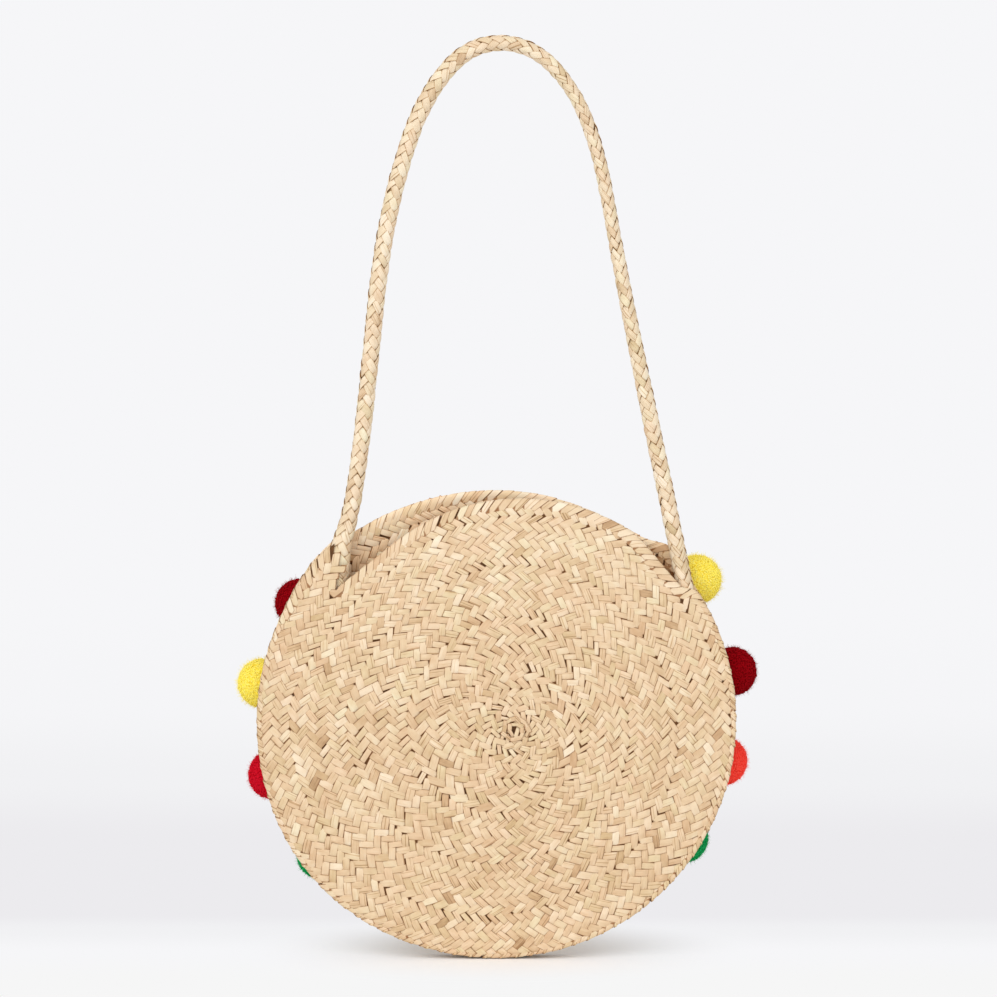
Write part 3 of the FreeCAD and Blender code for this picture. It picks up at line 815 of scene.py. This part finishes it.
# The strap's route, millimetres across and up, from the left tail over the crown to the right tail
strap = {
    "route": [(-121.2, -383.0), (-112.7, -325.0), (-104.2, -245.6), (-96.4, -168.3), (-80.8, -95.9),
              (-57.9, -34.4), (-21.2, 6.5), (27.3, 6.5), (64.4, -30.7), (85.7, -86.0), (99.2, -162.2),
              (115.8, -246.6), (132.3, -325.0), (149.0, -405.7)],
    "leftTail": 72.8, "rightTail": 46.8, "leftForward": 4, "rightForward": 1.5,
    "leftBend": [(-134.8, -436), (-130.2, -412)],
    "widthRun": ([0, 0.008, 0.02, 0.03, 0.045, 0.07, 0.45, 0.52, 0.57, 0.7, 0.78, 0.86, 1],
                 [1, 1, 1.5, 1.45, 1.2, 1, 1, 0.9, 0.8, 0.8, 0.88, 0.98, 1]),
    "wide": 6.9 * mm, "deep": 6.2 * mm, "rows": 6, "rowShift": 0.25, "pitch": 9.7 * mm,
    "placeSpread": 0.3 * mm, "slantSpread": math.radians(3), "lengthSpread": 0.05, "widthSpread": 0.08,
    "stripShare": 1.12, "overlap": 3.5 * mm, "tuck": 1.7, "sink": 0.75 * mm,
    "coreDepth": 1.3 * mm, "coreSides": 10, "coreStep": 7 * mm, "coreShadeTone": 0.15,
    "flatness": 0.45, "endFlatness": 1, "endTaper": 0.2, "liftSpread": 0.15 * mm, "tilt": math.radians(3),
    "tiltSpread": math.radians(3), "rise": 0.8 * mm, "crown": 0.28 * mm,
    "tone": 0.5, "toneSpread": 0.1, "oddShare": 0.02,
    "bendBelow": 13 * mm, "bendAbove": 13 * mm,
}


def strapPath():
    route = [np.array(p) for p in strap["route"]]
    leftFoot = route[0] + unit(route[0] - route[1]) * strap["leftTail"]
    rightFoot = route[-1] + unit(route[-1] - route[-2]) * strap["rightTail"]
    left = [(*place, -strap["leftForward"]) for place in (leftFoot, *strap["leftBend"])]
    control = [*left, *((*place, 0) for place in route), (*rightFoot, -strap["rightForward"])]
    curve = bpy.data.curves.new("strapRoute", "CURVE")
    curve.dimensions = "3D"
    curve.resolution_u = 12
    spline = curve.splines.new("NURBS")
    spline.points.add(len(control) - 1)
    for point, (across, up, deep) in zip(spline.points, control):
        point.co = (across * mm, deep * mm, up * mm, 1)
    spline.order_u = 3
    spline.use_endpoint_u = True
    holder = bpy.data.objects.new("strapRoute", curve)
    bpy.context.collection.objects.link(holder)
    mesh = bpy.data.meshes.new_from_object(holder)
    path = np.array([v.co for v in mesh.vertices])
    bpy.data.objects.remove(holder)
    bpy.data.meshes.remove(mesh)
    return path


piece = buildPiece("strapBraid", braid(strapPath(), strap, modelLeaf(6, 4)),
                   [finishes["strapLeaf"], finishes["lacingLeaf"]])
route = [np.array([across, 0, up]) * mm for across, up in strap["route"]]
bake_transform(piece)
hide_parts("strap", "strap_tail_left", "strap_tail_right")
print("strapBraid", len(piece.data.polygons), "faces")

# The braid that keeps the two discs apart, from one corner of the mouth round the bottom to the other
closedRim = {"from": math.radians(60), "to": math.radians(360 - 50)}
rimBraid = {
    **strap, "radius": 193.5 * mm, "stations": 240, "wide": 6.1 * mm, "deep": 6.1 * mm, "pitch": 9.0 * mm,
    "widthRun": ([0, 1], [1, 1]),
}
turns = np.linspace(closedRim["from"], closedRim["to"], rimBraid["stations"])
rimPath = np.stack([np.sin(turns), turns * 0, np.cos(turns)], -1) * rimBraid["radius"] + bag["centre"]
piece = buildPiece("rimBraid", braid(rimPath, rimBraid, modelLeaf(5, 3)),
                   [finishes["strapLeaf"], finishes["shadedLeaf"]], sag)
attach(piece, "bag")
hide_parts("rim_braid")
print("rimBraid", len(piece.data.polygons), "faces")

# Thin leaf stitches that close the rim, from the plain disc's edge over the braid to the other disc's edge
lacing = {"count": 70, "turnSpread": 0.004, "width": 2.2 * mm, "widthSpread": 0.12, "thickness": 0.45 * mm,
          "slant": 3.2 * mm, "crown": 0.18 * mm, "tone": 0.6, "toneSpread": 0.12,
          "section": [(198.6, -11.2), (200.1, -11.3), (200.9, -10.2), (201.1, -7.5), (201.0, 0.0),
                      (201.1, 7.5), (200.9, 10.2), (200.1, 11.3), (198.6, 11.2)]}
lanes = np.array([-1, 0, 1])


def rimStitches():
    count = lacing["count"]
    each = (count, 1, 1)
    out, depth = (np.array(line)[:, None] * mm for line in zip(*lacing["section"]))
    mid = np.linspace(closedRim["from"], closedRim["to"], count) + draw.normal(0, lacing["turnSpread"], count)
    width = lacing["width"] / 2 * draw.normal(1, lacing["widthSpread"], each).clip(0.7, 1.3)
    run = np.linspace(-1, 1, len(out))[:, None] * lacing["slant"] + width * lanes
    turn = mid.reshape(each) + run / bag["radius"]
    deep = np.broadcast_to(depth, run.shape)
    layers = []
    for drop in (0, lacing["thickness"]):
        radius = out + (lacing["crown"] * (1 - lanes ** 2) - drop)
        layers.append(np.stack([np.sin(turn) * radius, deep, np.cos(turn) * radius], -1) + bag["centre"])
    tone = drawTones(lacing, count, 0.05)
    grain = grainRun(count, depth[None] / mm, run / mm)
    part = slabStrips(*layers, grain, np.tile(np.abs(lanes), (len(out), 1)))
    part["tone"] = np.repeat(tone, part["points"].shape[1])
    return part


piece = buildPiece("rimLacing", [rimStitches()], [finishes["lacingLeaf"]], sag)
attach(piece, "bag")
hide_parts("rim_lacing")
print("rimLacing", len(piece.data.polygons), "faces")

# Bands of split leaf wound twice round the ends of the strap's tails, inside the bag
wrap = {"turns": 2.3, "stations": 44, "strip": 2.7 * mm, "radius": 7.05 * mm, "growth": 0.1 * mm,
        "thickness": 0.45 * mm, "crown": 0.15 * mm, "length": 5 * mm, "grain": 1.3, "tone": 0.55}


def windBand(foot, upTail):
    beside, away = np.array([upTail[2], 0, -upTail[0]]), np.array([0.0, 1.0, 0.0])
    q = np.linspace(0, 1, wrap["stations"])[:, None]
    turn = q * wrap["turns"] * fullTurn
    lift = wrap["strip"] / 2 + q * (wrap["length"] - wrap["strip"]) + lanes * wrap["strip"] / 2
    outward = np.sin(turn) * beside + np.cos(turn) * away
    layers = []
    for drop in (0, wrap["thickness"]):
        radius = wrap["radius"] + wrap["growth"] * q * wrap["turns"] + wrap["thickness"] - drop
        radius = radius + wrap["crown"] * (1 - lanes ** 2)
        layers.append((foot + lift[..., None] * upTail + radius[..., None] * outward[:, None])[None])
    grain = np.broadcast_arrays(turn * wrap["radius"] / mm, lanes * wrap["grain"])
    edge = np.tile(np.abs(lanes), (wrap["stations"], 1))
    return {**slabStrips(*layers, np.stack(grain, -1).reshape(1, -1, 2), edge), "tone": wrap["tone"]}


for name, pivot, inner, tail in (("left", route[0], route[1], strap["leftTail"]),
                                 ("right", route[-1], route[-2], strap["rightTail"])):
    upTail = unit(inner - pivot)
    piece = buildPiece(name + "StrapWrap", [windBand(pivot - upTail * tail * mm, upTail)],
                       [finishes["lacingLeaf"]])
    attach(piece, "bag")
    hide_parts("strap_wrap_" + name)
    print(piece.name, len(piece.data.polygons), "faces")

# Cut wool balls: yarn ends packed round a core, and a few stray fibres
pompoms = {
    "colours": {"left": ["crimson_wool", "yellow_wool", "red_wool", "green_wool"],
                "right": ["yellow_wool", "crimson_wool", "orange_wool", "green_wool"]},
    "shift": {"left_4": 2.4 * mm, "right_1": 1.2 * mm}, "clipBelow": -0.45, "clipped": 0.97,
    "ends": 2600, "endJitter": 0.018, "short": -0.01, "uneven": 0.006, "lean": 0.05, "sides": 4,
    "shares": [0.7, 0.92, 0.98, 1.0], "widths": [0.6, 1.0, 1.08, 0.92], "endWidth": 1.0 * mm,
    "tone": 0.6, "toneSpread": 0.04, "pileShadeRun": [0.7, 0.88, 1, 1.06],
    "strays": 6500, "strayJitter": 0.06, "strayFrom": 0.985, "strayLean": 0.6, "strayBelow": -0.2,
    "strayShares": [0.9, 1.0], "strayWidths": [0.11 * mm, 0.04 * mm], "straySides": 3, "strayTone": 0.75,
    "fuzz": {"yellow_wool": 0.12}, "usualFuzz": 0.065, "core": 0.93, "coreShadeTone": 0.45,
}


def evenWays(count, jitter):
    index = np.arange(count) + 0.5
    up = 1 - 2 * index / count
    turn = math.pi * (1 + math.sqrt(5)) * index
    flat = np.sqrt(1 - up ** 2)
    ways = np.stack([np.cos(turn) * flat, np.sin(turn) * flat, up], -1)
    return unit(ways + draw.normal(0, jitter, (count, 3)))


def spikes(centre, ways, reach, shares, widths, lean, sides):
    first = unit(np.cross(ways, np.where(np.abs(ways[:, 2:]) < 0.8, [[0, 0, 1.0]], [[1.0, 0, 0]])))
    second = np.cross(ways, first)
    turns = np.arange(sides) * fullTurn / sides
    around = np.cos(turns)[None, :, None] * first[:, None] + np.sin(turns)[None, :, None] * second[:, None]
    rows = []
    for share, width in zip(shares, widths):
        middle = centre + (ways + lean * (share - shares[0])) * (reach * share)[:, None]
        rows.append(middle[:, None] + around * width)
    faces = copyFaces(tubeFaces(len(shares), sides), len(shares) * sides, len(ways))
    return {"points": np.stack(rows, 1), "faces": faces}


def woolBall(node, fuzz):
    low, high = (np.array(v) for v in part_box(node))
    centre, radius = (low + high) / 2, (high - low).min() / 2
    outward = unit((centre - bag["centre"]) * np.array([1, 0, 1]))
    centre = centre + outward * pompoms["shift"].get(node.removeprefix("pompom_"), 0)
    ways = evenWays(pompoms["ends"], pompoms["endJitter"])
    reach = radius * (1 + draw.normal(pompoms["short"], pompoms["uneven"], len(ways)).clip(-0.06, 0.03))
    # the side that faces the disc is clipped shorter, so the ball can rock
    reach = np.where(ways[:, 1] < pompoms["clipBelow"], reach * pompoms["clipped"], reach)
    lean = draw.normal(0, pompoms["lean"], (len(ways), 3))
    widths = np.array(pompoms["widths"]) * pompoms["endWidth"]
    ball = spikes(centre, ways, reach, pompoms["shares"], widths, lean, pompoms["sides"])
    # painted shade: each yarn end darkens towards its base, deep in the pile, and the core is toned dark too
    pileShadeRun = np.repeat(pompoms["pileShadeRun"], pompoms["sides"])
    ball["tone"] = np.clip(drawTones(pompoms, len(ways), 0.1)[:, None] * pileShadeRun[None], 0, 1).ravel()
    ways = evenWays(pompoms["strays"], pompoms["strayJitter"])
    reach = radius * (pompoms["strayFrom"] + fuzz * draw.random(len(ways)) ** 1.6)
    shortest = radius * pompoms["clipped"] * pompoms["strayFrom"]
    reach = np.where(ways[:, 1] < pompoms["clipBelow"], shortest, reach)
    lean = draw.normal(0, pompoms["strayLean"], (len(ways), 3))
    facing = ways[:, 1] < pompoms["strayBelow"]
    lean[facing, 1] = np.abs(lean[facing, 1])  # none leans towards the disc
    strays = spikes(centre, ways, reach, pompoms["strayShares"], pompoms["strayWidths"], lean,
                    pompoms["straySides"])
    strays["tone"] = pompoms["strayTone"]
    deselectAll()
    bpy.ops.mesh.primitive_ico_sphere_add(subdivisions=4, radius=radius * pompoms["core"], location=centre)
    points, faces = takeMesh(bpy.context.object)
    return [ball, strays, {"points": points, "faces": faces, "tone": pompoms["coreShadeTone"]}], centre


# A tube round a row of points, with its ends closed, or joined where the row is a ring
def tubeAlong(points, radius, tone, joined=False, sides=6):
    ahead = unit(np.roll(points, -1, 0) - np.roll(points, 1, 0) if joined else np.gradient(points, axis=0))
    side = np.cross(ahead[0], [0.31, 0.52, 0.79])
    turns = np.arange(sides) * fullTurn / sides
    rows = []
    for place, way in zip(points, ahead):
        side = unit(side - way * (side @ way))
        ring = np.cos(turns)[:, None] * side + np.sin(turns)[:, None] * np.cross(way, side)
        rows.append(place + radius * ring)
    return {"points": np.concatenate(rows), "faces": tubeFaces(len(points), sides, joined), "tone": tone}


# The yarn that ties a ball on: two plies twisted together, from just clear of the disc into the ball
tie = {"start": 1.0 * mm, "length": 12 * mm, "ply": 0.68 * mm, "offset": 0.6 * mm, "twist": 5.0 * mm,
       "stations": 26, "tone": 0.6}


def twistedYarn(start, way):
    first = unit(np.cross(way, [0, 0, 1.0]))
    second = np.cross(way, first)
    at = np.linspace(0, tie["length"], tie["stations"])
    parts = []
    for phase in (0, math.pi):
        turn = at / tie["twist"] * fullTurn + phase
        spread = np.cos(turn)[:, None] * first + np.sin(turn)[:, None] * second
        parts.append(tubeAlong(start + at[:, None] * way + spread * tie["offset"], tie["ply"], tie["tone"]))
    return parts


# A knot of the same yarn against the inside of the disc, and the yarn that comes through from it
knot = {"across": 5.0 * mm, "thick": 1.6 * mm, "yarn": 0.4 * mm, "inward": 5.4 * mm, "stations": 42,
        "tone": 0.55, "shank": 1.6, "shankOut": 0.2 * mm, "shankStations": 6, "shankTone": 0.5}


def yarnKnot(root):
    t = np.linspace(0, fullTurn, knot["stations"], endpoint=False)
    size = (knot["across"] / 2 - knot["yarn"]) / 3
    deep = knot["thick"] / 2 - knot["yarn"]
    loops = np.stack([np.sin(t) + 2 * np.sin(2 * t), -np.sin(3 * t) * deep / size,
                      np.cos(t) - 2 * np.cos(2 * t)], -1) * size
    centre = root - np.array([0, knot["inward"], 0])
    shank = np.linspace(centre, root + np.array([0, knot["shankOut"], 0]), knot["shankStations"])
    return [tubeAlong(centre + loops, knot["yarn"], knot["tone"], joined=True),
            tubeAlong(shank, knot["yarn"] * knot["shank"], knot["shankTone"])]


knots = []
roots = {joint["child"]: np.array(joint["pos_m"]) for joint in frame["joints"]}
for side in ("left", "right"):
    for k, colour in enumerate(pompoms["colours"][side]):
        tag = f"{side}_{k + 1}"
        parts, centre = woolBall("pompom_" + tag, pompoms["fuzz"].get(colour, pompoms["usualFuzz"]))
        ball = buildPiece("woolBall_" + tag, parts, [finishes[colour]])
        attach(ball, "pompom_" + tag)
        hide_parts("pompom_" + tag)
        root = roots["pompom_" + tag]
        way = unit(centre - root)
        plies = twistedYarn(root + way * tie["start"], way)
        yarn = buildPiece("woolTie_" + tag, plies, [finishes["tie_yarn"]])
        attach(yarn, "pompom_" + tag)
        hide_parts("pompom_tie_" + tag)
        knots += yarnKnot(root)
        print(ball.name, len(ball.data.polygons), "faces")
piece = buildPiece("tieKnots", knots, [finishes["tie_yarn"]])
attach(piece, "bag")
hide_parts("tie_knots")
print("tieKnots", len(piece.data.polygons), "faces")


# The camera stands in front of the plain face, a little above the middle of the bag
view = {"target": (1.5 * mm, 0, -373 * mm), "distance": 4.5, "elevation": 6.0, "frameWidth": 833.2 * mm,
        "sensor": 36.0}
rise = math.radians(view["elevation"])
across, deep, up = view["target"]
bpy.ops.object.camera_add(location=(across, deep - view["distance"] * math.cos(rise),
                                    up + view["distance"] * math.sin(rise)),
                          rotation=(math.pi / 2 - rise, 0, 0))
camera = bpy.context.object
camera.data.sensor_width = view["sensor"]
camera.data.lens = view["sensor"] * view["distance"] / view["frameWidth"]
bpy.context.scene.camera = camera

studio = {"floorDrop": 761.5 * mm, "floorSize": 60, "white": "#F6F6F8", "floorTone": "#FBFBFC",
          "fadeFrom": 0.04, "fadeTo": 0.22, "fadeBack": 0.045, "fadeStretch": 1.5,
          "depthFrom": -0.1, "depthTo": 2.5, "sideFrom": 0.7, "sideTo": 2.4,
          "paintedShadowTones": [(0, "#F6F6F6"), (0.046, "#F6F6F8"), (0.086, "#F1F1F3"), (0.115, "#ECEBEE"),
                         (0.265, "#ECEBEE"), (0.404, "#F1F1F3"), (0.615, "#F5F5F7"), (0.96, "#F6F6F8")],
          "ambient": 0.605, "ambientTone": "#FFFFFF",
          "lights": {"key": {"strength": 1.22, "spread": 50, "turn": (48, 0, -28)},
                     "fill": {"strength": 0.63, "spread": 80, "turn": (80, 0, 25)}}}


# 1 for rays that show the backdrop itself, straight, mirrored or through something clear
def straightRays(add):
    rays = add("LightPath").outputs
    mirrored = add("Math", {"operation": "MAXIMUM"}, {0: rays["Is Camera Ray"], 1: rays["Is Glossy Ray"]})
    return add("Math", {"operation": "MAXIMUM"}, {0: mirrored, 1: rays["Is Transmission Ray"]})


# A pale sweep: matt floor under the bag, which runs into the plain backdrop behind it
def paleFloor():
    deselectAll()
    bpy.ops.mesh.primitive_plane_add(size=studio["floorSize"], location=(0, 0, -studio["floorDrop"]))
    floor = bpy.context.object
    floor.name = "floor"
    material, add = newMaterial("paleSweep")
    matt = add("BsdfDiffuse", {"Color": linear(studio["floorTone"])})
    place = add("TexCoord").outputs["Object"]
    # painted shadow: the floor's plain colour is a little greyer behind the bag, where the bag's shadow falls
    sweep = add("SeparateXYZ", {}, {"Vector": place}).outputs
    depth = add("MapRange", {"From Min": studio["depthFrom"], "From Max": studio["depthTo"]},
                {"Value": sweep["Y"]})
    shade = setRamp(add("ValToRGB", {}, {"Fac": depth}), studio["paintedShadowTones"])
    shade.color_ramp.interpolation = "EASE"
    # and the painted shadow runs out to plain white on both sides
    aside = add("Math", {"operation": "ABSOLUTE"}, {0: sweep["X"]})
    sides = add("MapRange", {"interpolation_type": "SMOOTHSTEP", "From Min": studio["sideFrom"],
                             "From Max": studio["sideTo"]}, {"Value": aside})
    tone = add("Mix", {"data_type": "RGBA", 7: linear(studio["white"])}, {0: sides, 6: shade})
    plain = add("Emission", {"Strength": 1.0}, {"Color": tone.outputs[2]})
    # the bag's own shade on the matt floor, which reaches a little further back than forward
    moved = add("Mapping", {"Location": (0, -studio["fadeBack"], 0),
                            "Scale": (1, studio["fadeStretch"], 1)}, {"Vector": place})
    reach = add("VectorMath", {"operation": "LENGTH"}, {0: moved}).outputs["Value"]
    fade = add("MapRange", {"interpolation_type": "SMOOTHSTEP", "From Min": studio["fadeFrom"],
                            "From Max": studio["fadeTo"]}, {"Value": reach})
    seen = add("Math", {"operation": "MULTIPLY"}, {0: fade, 1: straightRays(add)})
    mix = add("MixShader", {}, {0: seen, 1: matt, 2: plain})
    add("OutputMaterial", {}, {"Surface": mix})
    floor.data.materials.append(material)


def backdrop():
    world = bpy.data.worlds.new("studio")
    bpy.context.scene.world = world
    add = nodeAdder(world)
    lit = add("Background", {"Strength": studio["ambient"], "Color": linear(studio["ambientTone"])})
    seen = add("Background", {"Strength": 1.0, "Color": linear(studio["white"])})
    mix = add("MixShader", {}, {0: straightRays(add), 1: lit, 2: seen})
    add("OutputWorld", {}, {"Surface": mix})


paleFloor()
backdrop()
for name, light in studio["lights"].items():
    deselectAll()
    bpy.ops.object.light_add(type="SUN", rotation=[math.radians(t) for t in light["turn"]])
    lamp = bpy.context.object
    lamp.name = name
    lamp.data.energy = light["strength"]
    lamp.data.angle = math.radians(light["spread"])
bpy.context.scene.view_settings.view_transform = "Standard"
print("stage set")
